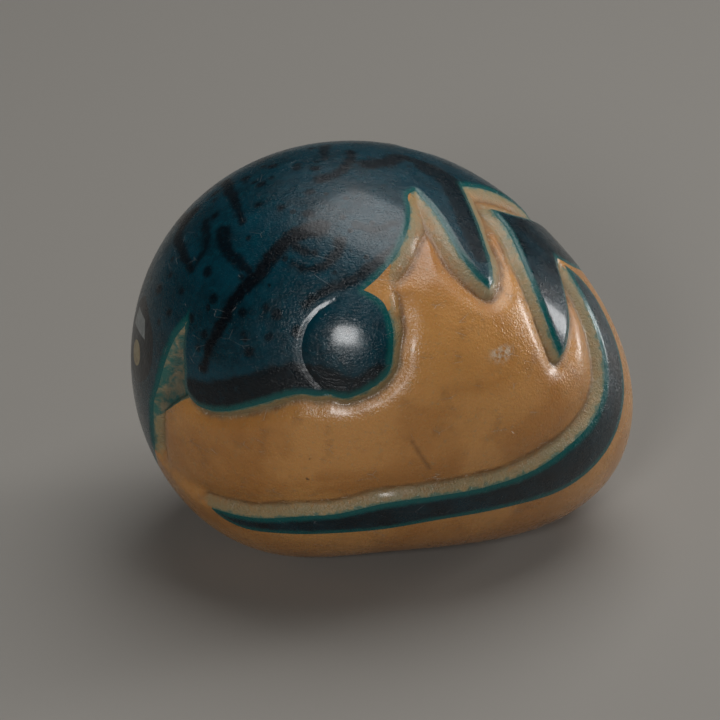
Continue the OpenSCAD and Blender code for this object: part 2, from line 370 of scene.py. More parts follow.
def relief(u, field, sizes):
    """How deep each point lies below the nut's own surface, and the masks that the finishes read."""
    points = on_nut(u)
    carve, shoulder = sizes.carve_depth / MM, sizes.edge_round / MM
    raised = np.maximum.reduce([field["seat"], field["head"], field["rump_leaf"], field["tail"]])
    away = np.clip(-raised, 0, None)
    ground = smooth(0.0, GROUND_FADE, field["ground"])
    high = smooth(CROWN_FROM, CROWN_TO, np.degrees(np.arcsin(u[:, 2])))
    hand = 1 + 0.22 * wobble(points, 3.2, 1)
    cuts = []
    for name, (steep, steep_gain, wide, wide_gain, share) in CUTS.items():
        outside = np.clip(-field[name], 0, None)
        steep_width = (steep + steep_gain * high) * hand
        cuts.append(knife_cut(outside, steep_width, wide + wide_gain * high, carve * share))
    flank = carve * 0.25 + 0.12 * wobble(points, 5.5, 2)
    lip = smooth(0.0, LIP_WIDTH, away)
    bare = soft_max([flank] + cuts, 0.15) * lip + shoulder * (1 - lip)
    top = shoulder * (1 - smooth(0.0, EDGE_WIDTH, raised)) ** 1.5
    depth = ground * np.where(raised > 0, top, bare)
    groove = smooth(0.0, 0.7, field["cheek"]) * (raised <= 0)
    notch = shoulder + (carve + sizes.groove_extra / MM) * np.clip(away / NOTCH_WIDTH, 0, 1)
    depth += (np.maximum(depth, notch) - depth) * groove
    dyed = smooth(-0.05, 0.05, raised)
    for turn in (1, -1):
        middle = on_nut(toward([[turn * KNOB_MIDDLE[0], KNOB_MIDDLE[1]]]))[0]
        spread = np.linalg.norm(points - middle, axis=1) / KNOB_RADIUS
        depth -= sizes.knob_rise / MM * (1 - smooth(0.35, 1.05, spread)) * dyed
        crease = on_nut(curve([[turn * p[0], p[1]] for p in [KNOB_FOOT] + KNOB_INNER], closed=False))
        from_crease = distance_to(points, crease, False)[0] / KNOB_CREASE_WIDTH
        depth += KNOB_CREASE_DEPTH * np.exp(-(from_crease**2)) * dyed
    tail_near = field["tail"] > -2.5
    bevel = np.where(tail_near, TAIL_BEVEL_WIDTH, BEVEL_WIDTH + BEVEL_GAIN * high) * hand
    masks = {
        "edge": np.clip(raised, 0, NO_OUTLINE),
        "away": np.where(ground > 0.2, away, NO_OUTLINE),
        "bevel": ground * (1 - smooth(0.75, 1.15, away / bevel)),
        "ridge": ground * np.exp(-(((away - bevel) / RIDGE_WIDTH) ** 2)),
        "crease": np.clip(depth / carve, 0, 1),
    }
    return depth, masks


# ---------------------------------------------------------------- brush marks, with painted shade along the hem

# Strokes that run from the left side over to the right stay as they are. The others are made on both sides.
# Each is its width in millimetres, its strength and its route.
CROWN_STROKES = [
    (1.0, 0.9, [[-11, 47], [13, 50], [29, 48]]),
    (1.1, 0.9, [[31, 72], [27, 78], [-22, 82], [-60, 76]]),
    (0.8, 0.8, [[-51, 67], [-14, 75]]),
    (1.6, 0.9, [[-45, 87], [240, 83], [240, 75], [223, 71], [211, 66]]),
    (2.6, 0.8, [[209, 70], [197, 67], [176, 64], [153, 59], [142, 52], [136, 45]]),
]
SIDE_STROKES = [
    (1.2, 0.9, [[0, 38], [5, 33], [16, 32], [24, 31]]),
    (0.8, 0.8, [[13, 41], [23, 38], [25, 31]]),
    (1.2, 0.9, [[25, 43], [33, 40], [40, 39], [46, 38]]),
    (1.4, 1.0, [[63, 56], [54, 51], [51, 45], [49, 38], [45, 30], [44, 24], [42, 18], [41, 11]]),
    (0.9, 0.9, [[74, 53], [75, 50], [71, 45], [64, 43], [59, 44]]),
    (0.8, 0.9, [[54, 50], [59, 48], [66, 48]]),
    (1.0, 0.9, [[99, 51], [90, 47], [82, 42], [73, 38], [68, 34]]),
    (0.8, 0.7, [[80, 59], [90, 58], [102, 61]]),
    # Black ink and painted shade together: the dark band under the overhanging hem of the back.
    (2.4, 0.95, [[39, 3], [46, 5], [56, 10], [66, 15], [76, 16], [84, 14], [91, 18]]),
]
SPOTS = [
    [-3, 68], [8, 73], [2, 54], [11, 58], [26, 54], [38, 57], [53, 59], [71, 61],
    [40, 66], [-8, 61], [3, 45], [15, 21], [25, 25], [24, 19], [38, 28],
    [21, 15], [39, 19], [49, 28], [56, 31], [60, 30], [51, 23], [59, 24], [54, 19],
    [38, 15], [67, 27], [33, 21], [44, 36], [31, 33], [17, 26], [14, 44],
]
SPOT_RADIUS, SPOT_SPREAD = 0.50, 0.15
CRACK, CRACK_WIDTH = [[97, 0], [100, -2], [102, -6], [105, -11]], 0.16
# Middle and reach of the whitish patch on the left flank: rubbed wear and a painted highlight.
WORN_HIGHLIGHT_MIDDLE, WORN_HIGHLIGHT_REACH = [127, 18], [2.2, 2.2, 1.0]


def brush_marks_and_hem_shade(u):
    """Strength of the black brush marks, 0 to 1: strokes that thin towards their ends, and spots. The broad
    stroke along the bottom of the hem is painted shade as well as ink.
    """
    points = on_nut(u)
    ragged = 0.16 * wobble(points, 0.9, 3) + 0.10 * wobble(points, 0.45, 4)
    ink = np.zeros(len(u))
    flipped = [(width, strength, mirrored(route)) for width, strength, route in SIDE_STROKES]
    for width, strength, route in CROWN_STROKES + SIDE_STROKES + flipped:
        away, along = distance_to(points, on_nut(curve(route, closed=False)), False)
        half = width * (0.75 - 0.35 * along)
        mark = strength * smooth(0.34, -0.34, away - half - 1.5 * ragged)
        ink = np.maximum(ink, np.clip(mark, 0, 1))
    for number, spot in enumerate(SPOTS + mirrored(SPOTS)):
        centre = on_nut(toward([spot]))[0]
        radius = SPOT_RADIUS + SPOT_SPREAD * math.sin(number * 2.4)
        away = np.linalg.norm(points - centre, axis=1)
        ink = np.maximum(ink, 0.85 * smooth(-0.25, 0.25, radius - away + ragged))
    return ink


def dark_middles(u):
    """Ink brushed over the leaf and the tail, which leaves their teal rims."""
    points = on_nut(u)
    within = np.maximum(signed_distance(u, ZONES["rump_leaf"]), signed_distance(u, ZONES["tail"]))
    patchy = 0.62 + 0.38 * wobble(points, 2.2, 6)
    return patchy * smooth(0.28, 0.85, within + 0.22 * wobble(points, 0.8, 7))


def wear_and_highlight_marks(u):
    """The one crack, and the whitish patch on the nut's left flank, which is rubbed wear and a painted
    highlight.
    """
    points = on_nut(u)
    from_crack = distance_to(points, on_nut(curve(CRACK, closed=False)), False)[0]
    rubbed = (points - on_nut(toward([WORN_HIGHLIGHT_MIDDLE]))[0]) / WORN_HIGHLIGHT_REACH
    worn = smooth(1.0, 0.2, np.linalg.norm(rubbed, axis=1) + 0.5 * wobble(points, 1.2, 5))
    return {"crack": smooth(CRACK_WIDTH, 0.0, from_crack), "worn": worn}


# ---------------------------------------------------------------- the shared, cut ball

BALL = {}
# Edges are halved within this many millimetres of an outline.
REFINED_BAND = 1.3
# A cut looks this many millimetres past its zone.
CUT_MARGIN = 1.5
# A vertex within this share of an edge from the outline is moved onto it.
NEAR_END = 0.2
# The brush marks need edges under about 0.3 mm, here on the unit ball.
FINE_EDGE = 0.3 / 25


def settle(bm):
    """Puts cut vertices back on the unit ball, and leaves only triangles where the ball was cut."""
    for v in bm.verts:
        v.co.normalize()
    sunk = bm.verts.layers.float["sunk"]
    cut = [f for f in bm.faces if len(f.verts) > 3 and len({v[sunk] for v in f.verts}) == 1]
    if cut:
        bmesh.ops.triangulate(bm, faces=cut)
    for items in (bm.verts, bm.edges, bm.faces):
        items.index_update()
        items.ensure_lookup_table()


def directions_of(bm):
    return unit(np.array([v.co[:] for v in bm.verts]))


def refine(bm, band):
    """Halves the edges of the faces within a band round each outline."""
    u = directions_of(bm)
    close = np.zeros(len(u), bool)
    for zone in ZONES.values():
        close |= np.abs(signed_distance(u, zone, band + 1)) < band
    edges = dict.fromkeys(e for f in bm.faces if any(close[v.index] for v in f.verts) for e in f.edges)
    bmesh.ops.subdivide_edges(bm, edges=list(edges), cuts=1)
    settle(bm)


def cut_along(bm, zone):
    """Cuts the ball along a zone's outline, so that no face lies on both sides of it."""
    u = directions_of(bm)
    s = signed_distance(u, zone, CUT_MARGIN)
    ends = np.array([(e.verts[0].index, e.verts[1].index) for e in bm.edges])
    a, b = s[ends[:, 0]], s[ends[:, 1]]
    crossing = np.flatnonzero((a * b < 0) & (np.minimum(a, b) > FAR))
    # A vertex that all but lies on the outline is moved onto it, which leaves no thin faces.
    moves = {}
    for i in crossing:
        share = a[i] / (a[i] - b[i])
        for end, part in ((0, share), (1, 1 - share)):
            v = ends[i, end]
            if part < NEAR_END and part < moves.get(v, (1,))[0]:
                moves[v] = part, u[ends[i, 1 - end]]
    for v, (part, target) in moves.items():
        bm.verts[v].co = Vector(u[v] + (target - u[v]) * part)
        s[v] = 0
    a, b = s[ends[:, 0]], s[ends[:, 1]]
    crossing = np.flatnonzero((a * b < 0) & (np.minimum(a, b) > FAR))
    percents = {bm.edges[i]: float(a[i] / (a[i] - b[i])) for i in crossing}
    bmesh.ops.subdivide_edges(bm, edges=list(percents), cuts=1, edge_percents=percents)
    settle(bm)


def cut_ball(sizes):
    """The ball that every piece takes its faces from, cut along every zone and made only once."""
    if "bm" not in BALL:
        bm = bmesh.new()
        bmesh.ops.create_icosphere(bm, subdivisions=sizes.ball_level, radius=1.0)
        bm.verts.layers.float.new("sunk")
        settle(bm)
        refine(bm, REFINED_BAND)
        for zone in ZONES.values():
            cut_along(bm, zone)
        middles = unit(np.array([f.calc_center_median()[:] for f in bm.faces]))
        owner = np.full(len(middles), -1)
        for name in reversed(ZONES):
            owner[inside(middles, ZONES[name])] = ZONE_NUMBER[name]
        layer = bm.faces.layers.int.new("zone")
        for f, number in zip(bm.faces, owner):
            f[layer] = int(number)
        BALL["bm"] = bm
    return BALL["bm"]


def sink(bm, faces, amount):
    """Extrudes faces inwards by an amount that the final placing reads."""
    sunk = bm.verts.layers.float["sunk"]
    chosen = set(faces)
    edges = dict.fromkeys(e for f in faces for e in f.edges)
    for e in edges:
        if len(e.link_faces) == 1 or any(f not in chosen for f in e.link_faces):
            e.smooth = False
    corners = dict.fromkeys(v for f in faces for v in f.verts)
    made = bmesh.ops.extrude_face_region(bm, geom=[*faces, *edges, *corners])["geom"]
    for v in made:
        if isinstance(v, bmesh.types.BMVert):
            v[sunk] += amount


def carve_piece(name, zones, deep, inlays=(), inlay_depth=0.0, bare=False, finer=False, marks=()):
    """One closed piece with the zones' faces. A bare piece has the whole ball, with seats for the zones."""
    sizes = bpy.context.scene.nut_shape
    bm = cut_ball(sizes).copy()
    layer = bm.faces.layers.int["zone"]
    sunk = bm.verts.layers.float["sunk"]
    numbers = {ZONE_NUMBER[z] for z in [*zones, *inlays]}
    if not bare:
        bmesh.ops.delete(bm, geom=[f for f in bm.faces if f[layer] not in numbers], context="FACES")
    tops = [f for f in bm.faces if f[layer] in numbers]
    sink(bm, tops, deep)
    if inlays:
        inlaid = {ZONE_NUMBER[z] for z in inlays}
        sink(bm, [f for f in tops if f[layer] in inlaid], inlay_depth)
    if finer:
        spans = [
            e for e in bm.edges
            if e.smooth and e.calc_length() > FINE_EDGE and all(v[sunk] == 0 for v in e.verts)
        ]
        bmesh.ops.subdivide_edges(bm, edges=spans, cuts=1)
    settle(bm)
    u = directions_of(bm)
    field = zone_fields(u)
    depth, masks = relief(u, field, sizes)
    for mark in marks:
        masks.update(mark(u))
    for key, values in masks.items():
        store = bm.verts.layers.float.new(key)
        for v, value in zip(bm.verts, values):
            v[store] = float(value)
    below = depth + np.array([v[sunk] for v in bm.verts])
    places = (CENTRE + u * (reach(u) - below)[:, None]) * MM
    for v, place in zip(bm.verts, places):
        v.co = place
    if bare:
        sand_flat(bm)
    bmesh.ops.recalc_face_normals(bm, faces=bm.faces)
    for f in bm.faces:
        f.smooth = True
    mesh = bpy.data.meshes.new(name)
    bm.to_mesh(mesh)
    bm.free()
    piece = bpy.data.objects.new(name, mesh)
    bpy.context.scene.collection.objects.link(piece)
    return piece


def sand_flat(bm):
    """Sands the underside away at the rest face, and closes it."""
    geometry = [*bm.verts, *bm.edges, *bm.faces]
    cut = bmesh.ops.bisect_plane(
        bm, geom=geometry, dist=1e-7, plane_co=(0, 0, 0), plane_no=(0, 0, -1), clear_outer=True,
    )["geom_cut"]
    rim = [e for e in cut if isinstance(e, bmesh.types.BMEdge)]
    for e in rim:
        e.smooth = False
    bmesh.ops.contextual_create(bm, geom=rim)
    wide = [f for f in bm.faces if len(f.verts) > 4]
    bmesh.ops.triangulate(bm, faces=wide)


# ---------------------------------------------------------------- finishes


class Graph:
    """A short way to add and join the nodes of one material or node group."""

    def __init__(self, tree):
        self.tree = tree

    def add(self, kind, sockets, **settings):
        node = self.tree.nodes.new("ShaderNode" + kind)
        for key, value in settings.items():
            setattr(node, key, value)
        for key, value in sockets.items():
            self.feed(value, node.inputs[key])
        return node

    def feed(self, value, socket):
        if isinstance(value, bpy.types.NodeSocket):
            self.tree.links.new(value, socket)
        else:
            socket.default_value = value

    def math(self, operation, a, b=0.0):
        return self.add("Math", {0: a, 1: b}, operation=operation).outputs[0]

    def fade(self, value, low, high, out_low=0.0, out_high=1.0):
        """Turns low..high into out_low..out_high with soft ends."""
        sockets = {"Value": value, "From Min": low, "From Max": high, "To Min": out_low, "To Max": out_high}
        return self.add("MapRange", sockets, interpolation_type="SMOOTHSTEP").outputs[0]

    def blend(self, share, a, b):
        node = self.add("Mix", {0: share, 6: a, 7: b}, data_type="RGBA")
        return node.outputs[2]

    def place(self):
        return self.add("TexCoord", {}).outputs["Object"]

    def grain(self, size, detail=2.0, rough=0.5, warp=0.0, place=None):
        """Noise of about 0 to 1, with features of the given size in metres."""
        sockets = {
            "Vector": place or self.place(), "Scale": 1 / size, "Detail": detail,
            "Roughness": rough, "Distortion": warp,
        }
        return self.add("TexNoise", sockets).outputs[0]

    def cells(self, size, feature="F1", place=None):
        sockets = {"Vector": place or self.place(), "Scale": 1 / size}
        return self.add("TexVoronoi", sockets, feature=feature)

    def attribute(self, name):
        return self.add("Attribute", {}, attribute_name=name).outputs["Fac"]

    def group(self, tree, sockets):
        node = self.tree.nodes.new("ShaderNodeGroup")
        node.node_tree = tree
        for key, value in sockets.items():
            self.feed(value, node.inputs[key])
        return node


def new_group(name, inputs, outputs):
    """An empty node group with named float inputs and outputs, and its graph and end nodes."""
    tree = bpy.data.node_groups.new(name, "ShaderNodeTree")
    for label, default in inputs.items():
        socket = tree.interface.new_socket(name=label, in_out="INPUT", socket_type="NodeSocketFloat")
        socket.default_value = default
    for label in outputs:
        tree.interface.new_socket(name=label, in_out="OUTPUT", socket_type="NodeSocketFloat")
    return tree, Graph(tree), tree.nodes.new("NodeGroupInput"), tree.nodes.new("NodeGroupOutput")


def wax_polish():
    """Hand-rubbed wax: uneven gloss, a fine orange-peel height and the marks of the knife under it."""
    if "Wax polish" in bpy.data.node_groups:
        return bpy.data.node_groups["Wax polish"]
    tree, g, given, made = new_group(
        "Wax polish", {"Gloss": 0.3, "Rubbed": 0.12, "Peel": 0.5, "Cut marks": 0.0}, ["Roughness", "Height"],
    )
    patches = g.grain(0.004, 3.0, 0.6, 0.4)
    smears = g.grain(0.0007, 3.0, 0.6)
    uneven = g.math("ADD", g.math("MULTIPLY", patches, 0.6), g.math("MULTIPLY", smears, 0.4))
    strength = g.math("MULTIPLY", given.outputs["Rubbed"], 4.0)
    shift = g.math("MULTIPLY", g.math("SUBTRACT", uneven, 0.5), strength)
    rough = g.math("ADD", given.outputs["Gloss"], shift)
    rough = g.math("ADD", rough, g.math("MULTIPLY", given.outputs["Cut marks"], 0.12))
    fine = g.grain(0.00026, 2.0, 0.6)
    soft = g.grain(0.0016, 1.0, 0.5)
    peel = g.math("ADD", g.math("MULTIPLY", fine, 0.60), g.math("MULTIPLY", soft, 0.60))
    peel = g.math("MULTIPLY", peel, given.outputs["Peel"])
    cut_marks = g.math("MULTIPLY", given.outputs["Cut marks"], 1.7)
    chatter = g.math("MULTIPLY", g.grain(0.0004, 2.0, 0.6, 1.2), cut_marks)
    g.feed(rough, made.inputs["Roughness"])
    g.feed(g.math("ADD", peel, chatter), made.inputs["Height"])
    return tree


def hairlines():
    """Short scattered hairline scratches."""
    if "Hairlines" in bpy.data.node_groups:
        return bpy.data.node_groups["Hairlines"]
    tree, g, given, made = new_group("Hairlines", {"Amount": 0.5}, ["Mask"])
    bent = g.add("VectorMath", {0: g.place(), 1: (1.0, 1.0, 2.4)}, operation="MULTIPLY").outputs[0]
    lines = g.cells(0.0034, "DISTANCE_TO_EDGE", place=bent).outputs["Distance"]
    thin = g.fade(lines, 0.016, 0.002)
    broken = g.fade(g.grain(0.0022, 2.0, 0.5), 0.56, 0.66)
    g.feed(g.math("MULTIPLY", g.math("MULTIPLY", thin, broken), given.outputs["Amount"]), made.inputs["Mask"])
    return tree


def specks():
    """Small round specks, some present and most not."""
    if "Specks" in bpy.data.node_groups:
        return bpy.data.node_groups["Specks"]
    tree, g, given, made = new_group("Specks", {"Spacing": 0.003, "Share": 0.3, "Radius": 0.12}, ["Mask"])
    scale = g.math("DIVIDE", 1.0, given.outputs["Spacing"])
    cells = g.cells(0.003)
    g.feed(scale, cells.inputs["Scale"])
    ragged = g.math("MULTIPLY", g.math("SUBTRACT", g.grain(0.0004, 1.0), 0.5), 0.12)
    reach_of = g.math("ADD", cells.outputs["Distance"], ragged)
    low = g.math("MULTIPLY", given.outputs["Radius"], 0.6)
    dot = g.fade(reach_of, given.outputs["Radius"], low)
    lot = g.add("SeparateColor", {0: cells.outputs["Color"]}).outputs[0]
    chosen = g.math("LESS_THAN", lot, given.outputs["Share"])
    g.feed(g.math("MULTIPLY", dot, chosen), made.inputs["Mask"])
    return tree


def new_finish(name):
    """An empty material, its graph, its shader, and a bump that already feeds the shader's normal."""
    material = bpy.data.materials.new(name)
    material.use_nodes = True
    g = Graph(material.node_tree)
    shader = material.node_tree.nodes["Principled BSDF"]
    bump = g.add("Bump", {"Strength": 1.0, "Distance": 0.0001})
    g.feed(bump.outputs[0], shader.inputs["Normal"])
    return material, g, shader, bump


def join_up(g, shader, bump, colour, polish, coat, height=None):
    """Joins a finish's colour, gloss and height to its shader, under a coat of wax of (weight, roughness)."""
    g.feed(colour, shader.inputs["Base Color"])
    g.feed(polish.outputs["Roughness"], shader.inputs["Roughness"])
    g.feed(height or polish.outputs["Height"], bump.inputs["Height"])
    g.feed(coat[0], shader.inputs["Coat Weight"])
    g.feed(coat[1], shader.inputs["Coat Roughness"])


def bare_nut(colours):
    """Honey-coloured waxed nut: mottled, paler where cut, browner in creases, stained beside the dye."""
    material, g, shader, bump = new_finish("Bare waxed nut")
    away, bevel, crease = g.attribute("away"), g.attribute("bevel"), g.attribute("crease")
    clouds = g.grain(0.011, 3.0, 0.55, 0.6)
    flecks = g.grain(0.0022, 3.0, 0.6)
    colour = g.blend(g.fade(clouds, 0.35, 0.68), colours.nut_light, colours.nut_deep)
    colour = g.blend(g.fade(flecks, 0.5, 0.75, 0.0, 0.30), colour, colours.nut_brown)
    scraped = g.fade(g.grain(0.0012, 2.0, 0.6, 1.0), 0.30, 0.65, 0.45, 1.0)
    colour = g.blend(g.math("MULTIPLY", g.math("MULTIPLY", bevel, scraped), 0.7), colour, colours.nut_cut)
    # Browner the deeper the cut.
    deep_cut_browning = g.math("MULTIPLY", g.fade(crease, 0.70, 1.0), g.fade(g.grain(0.002, 2.0), 0.3, 0.7, 0.25, 0.8))
    colour = g.blend(deep_cut_browning, colour, colours.nut_brown)
    ridge = g.attribute("ridge")
    # A brown line along the foot of each bevel.
    line = g.math("MULTIPLY", ridge, g.fade(g.grain(0.0015, 2.0), 0.35, 0.6, 0.25, 0.85))
    colour = g.blend(line, colour, colours.nut_brown)
    # Painted glints: whitish specks along the foot of each bevel.
    painted_glints = g.math("MULTIPLY", g.fade(ridge, 0.25, 0.8), g.fade(g.grain(0.00045, 2.0, 0.6), 0.60, 0.70))
    colour = g.blend(g.math("MULTIPLY", painted_glints, 0.55), colour, colours.nut_worn_and_glint)
    uneven_edge = g.math("ADD", away, g.math("MULTIPLY", g.math("SUBTRACT", g.grain(0.0008, 2.0), 0.5), 0.9))
    colour = g.blend(g.fade(uneven_edge, 1.5, 0.1, 0.0, 0.55), colour, colours.nut_green)
    stain = g.fade(uneven_edge, 0.30, 0.02, 0.0, 0.75)
    colour = g.blend(stain, colour, colours.dye_bleed)
    # Whitish patch on the left flank: rubbed wear and a painted highlight.
    worn = g.math("MULTIPLY", g.attribute("worn"), g.fade(g.grain(0.0006, 2.0, 0.7), 0.35, 0.6))
    colour = g.blend(g.math("MULTIPLY", worn, 0.75), colour, colours.nut_worn_and_glint)
    pores = g.fade(g.grain(0.0006, 2.0, 0.7), 0.58, 0.75, 0.0, 0.35)
    colour = g.blend(pores, colour, colours.nut_cut)
    dots = g.group(specks(), {"Spacing": 0.0042, "Share": 0.22, "Radius": 0.075}).outputs[0]
    colour = g.blend(g.math("MULTIPLY", dots, 0.65), colour, colours.ink)
    crack = g.math("MULTIPLY", g.attribute("crack"), 0.7)
    colour = g.blend(crack, colour, colours.nut_brown)
    scratch = g.group(hairlines(), {"Amount": 0.45}).outputs[0]
    colour = g.blend(scratch, colour, colours.nut_worn_and_glint)
    knife_marks = g.math("MAXIMUM", bevel, ridge)
    polish = g.group(wax_polish(), {"Gloss": 0.29, "Rubbed": 0.12, "Peel": 1.5, "Cut marks": knife_marks})
    height = g.math("SUBTRACT", polish.outputs["Height"], g.math("ADD", crack, scratch))
    join_up(g, shader, bump, colour, polish, (0.25, 0.16), height)
    bump.inputs["Distance"].default_value = 0.00009
    shader.inputs["Subsurface Weight"].default_value = 0.12
    shader.inputs["Subsurface Radius"].default_value = (1.0, 0.45, 0.2)
    shader.inputs["Subsurface Scale"].default_value = 0.0012
    return material


def teal_dye(colours):
    """Deep teal dye with black brush marks, painted shade along the hem, a greener rim, rubbed high spots and
    dust in fine scratches.
    """
    material, g, shader, bump = new_finish("Teal dye")
    # The ink mask also holds painted shade along the bottom of the hem.
    edge, ink = g.attribute("edge"), g.attribute("ink")
    clouds = g.grain(0.006, 4.0, 0.6, 0.5)
    colour = g.blend(g.fade(clouds, 0.32, 0.70), colours.dye, colours.dye_deep)
    streaks = g.grain(0.0009, 3.0, 0.65, 0.8)
    colour = g.blend(g.fade(streaks, 0.42, 0.75, 0.0, 0.55), colour, colours.dye_light)
    small = g.group(specks(), {"Spacing": 0.0021, "Share": 0.55, "Radius": 0.21}).outputs[0]
    away_from_rim = g.fade(edge, 0.3, 0.9)
    marks = g.math("MAXIMUM", ink, g.math("MULTIPLY", g.math("MULTIPLY", small, away_from_rim), 0.75))
    dry = g.fade(g.grain(0.0005, 2.0, 0.6), 0.25, 0.5, 0.75, 1.0)
    # Ink colour over the ink mask: brush marks, and painted shade under the hem.
    colour = g.blend(g.math("MULTIPLY", marks, dry), colour, colours.ink)
    uneven_edge = g.math("ADD", edge, g.math("MULTIPLY", g.math("SUBTRACT", g.grain(0.001, 2.0), 0.5), 0.5))
    rim = g.fade(uneven_edge, 0.95, 0.20, 0.0, 0.8)
    colour = g.blend(rim, colour, colours.dye_rim)
    scratch = g.group(hairlines(), {"Amount": 0.8}).outputs[0]
    dust = g.group(specks(), {"Spacing": 0.0016, "Share": 0.16, "Radius": 0.055}).outputs[0]
    pale = g.math("MULTIPLY", g.math("MAXIMUM", scratch, dust), 0.35)
    colour = g.blend(pale, colour, colours.dust)
    polish = g.group(wax_polish(), {"Gloss": 0.27, "Rubbed": 0.12, "Peel": 1.0, "Cut marks": 0.0})
    swirled = g.add("VectorMath", {0: g.place(), 1: (0.35, 1.0, 1.0)}, operation="MULTIPLY").outputs[0]
    fibres = g.grain(0.00022, 3.0, 0.6, 1.2, place=swirled)
    height = g.math("SUBTRACT", polish.outputs["Height"], g.math("MULTIPLY", scratch, 0.7))
    height = g.math("ADD", height, g.math("MULTIPLY", fibres, 0.45))
    join_up(g, shader, bump, colour, polish, (0.3, 0.14), height)
    bump.inputs["Distance"].default_value = 0.00011
    shader.inputs["Specular IOR Level"].default_value = 0.38
    return material


def thin_wash(colours):
    """Thin streaky wash of dye over the bare nut in the cheek grooves."""
    material, g, shader, bump = new_finish("Thin wash")
    crease = g.attribute("crease")
    patchy = g.fade(g.grain(0.0016, 3.0, 0.65, 0.8), 0.35, 0.62)
    colour = g.blend(patchy, colours.nut_cut, colours.dye_bleed)
    colour = g.blend(g.fade(crease, 0.35, 1.1, 0.05, 0.45), colour, colours.dye_deep)
    polish = g.group(wax_polish(), {"Gloss": 0.45, "Rubbed": 0.1, "Peel": 0.8, "Cut marks": 0.6})
    join_up(g, shader, bump, colour, polish, (0.15, 0.3))
    return material


def eye_paint(name, main, second, colours):
    """Brushed eye colour: a main colour, worn to a second one in patches."""
    material, g, shader, bump = new_finish(name)
    patchy = g.fade(g.grain(0.0009, 3.0, 0.65, 0.5), 0.45, 0.72, 0.0, 0.7)
    colour = g.blend(patchy, main, second)
    dots = g.group(specks(), {"Spacing": 0.0012, "Share": 0.25, "Radius": 0.12}).outputs[0]
    colour = g.blend(g.math("MULTIPLY", dots, 0.6), colour, colours.ink)
    polish = g.group(wax_polish(), {"Gloss": 0.33, "Rubbed": 0.12, "Peel": 0.8, "Cut marks": 0.0})
    join_up(g, shader, bump, colour, polish, (0.25, 0.25))
    return material


FINISHES = {}


def finish_of(name):
    """The named finish, made the first time it is asked for."""
    if name not in FINISHES:
        colours = bpy.context.scene.nut_colours
        makers = {
            "bare_nut": lambda: bare_nut(colours),
            "teal_dye": lambda: teal_dye(colours),
            "thin_wash": lambda: thin_wash(colours),
            "eye_ink": lambda: eye_paint("Eye ink", colours.ink, colours.dye_deep, colours),
            "eye_white": lambda: eye_paint("Eye white", colours.eye_white, colours.dust, colours),
            "pupil": lambda: eye_paint("Bare pupil", colours.pupil, colours.nut_brown, colours),
        }
        FINISHES[name] = makers[name]()
    return FINISHES[name]


def put_in_frame(piece, node, finish):
    """Gives a piece its finish, and ties it to the frame in the place of its node."""
    piece.data.materials.append(finish_of(finish))
    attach(piece, "root")
    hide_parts(node)


# The ink mask, which also holds the painted shade along the bottom of the hem.
def with_ink_and_hem_shade(u):
    return {"ink": np.clip(np.maximum(brush_marks_and_hem_shade(u), dark_middles(u)), 0, 1)}


# ---------------------------------------------------------------- properties


def length(name, description, default):
    return bpy.props.FloatProperty(
        name=name, description=description, default=default, unit="LENGTH", precision=5,
    )


def colour_of(name, description, red, green, blue):
    return bpy.props.FloatVectorProperty(
        name=name, description=description, default=(red, green, blue, 1.0),
        subtype="COLOR", size=4, min=0.0, max=1.0,
    )


class NutShape(bpy.types.PropertyGroup):
    carve_depth: length("Carve depth", "How far the bare ground is cut back", 1.15 * MM)
    groove_extra: length("Cheek groove", "Extra depth of the groove behind each cheek", 0.15 * MM)
    edge_round: length("Rounded edge", "How far the rubbed edges of the relief drop", 0.24 * MM)
    knob_rise: length("Knob rise", "How far each elbow knob domes above the nut", 0.42 * MM)
    dye_depth: length("Dye depth", "Thickness of the dyed pieces", 0.5 * MM)
    inlay_depth: length("Eye inlay depth", "How deep the white and pupil reach into the eye", 0.3 * MM)
    ball_level: bpy.props.IntProperty(
        name="Fineness", description="Subdivisions of the ball that is cut into pieces",
        default=7, min=4, max=8,
    )


class NutColours(bpy.types.PropertyGroup):
    nut_light: colour_of("Nut", "Honey colour of the waxed nut", 0.560, 0.270, 0.080)
    nut_deep: colour_of("Nut, deeper", "Deeper honey clouds", 0.420, 0.180, 0.044)
    # Brown of the flecks and the crack, and of the browning in the deepest cuts and along the foot of each
    # bevel.
    nut_brown: colour_of("Nut, brown", "Wax and dirt in creases", 0.190, 0.085, 0.026)
    nut_cut: colour_of("Nut, cut", "Paler bevels beside the knife cuts", 0.290, 0.235, 0.135)
    nut_green: colour_of("Nut, tinted", "Bare bevel tinted by the dye beside it", 0.230, 0.250, 0.150)
    # Whitish colour of rubbed spots and scratches, also used for the painted glints and the painted highlight
    # on the left flank.
    nut_worn_and_glint: colour_of("Nut, worn", "Whitish rubbed spots", 0.640, 0.520, 0.400)
    dye: colour_of("Dye", "Teal dye", 0.0002, 0.036, 0.056)
    dye_deep: colour_of("Dye, deep", "Darker clouds in the dye", 0.0002, 0.017, 0.026)
    dye_light: colour_of("Dye, rubbed", "Dye rubbed thin", 0.0004, 0.054, 0.076)
    dye_rim: colour_of("Dye rim", "Greener edge of the dye", 0.0004, 0.100, 0.092)
    dye_bleed: colour_of("Dye bleed", "Dye soaked into the bare edge", 0.030, 0.140, 0.115)
    # Black of the brush marks, also used for the painted shade along the hem.
    ink: colour_of("Ink", "Black brush marks", 0.0004, 0.0022, 0.0045)
    dust: colour_of("Dust", "Dust in the scratches", 0.330, 0.350, 0.360)
    eye_white: colour_of("Eye white", "Pale corner of each eye", 0.200, 0.220, 0.215)
    pupil: colour_of("Pupil", "Bare round pupil, darkened by wax", 0.330, 0.260, 0.130)


# ---------------------------------------------------------------- operators


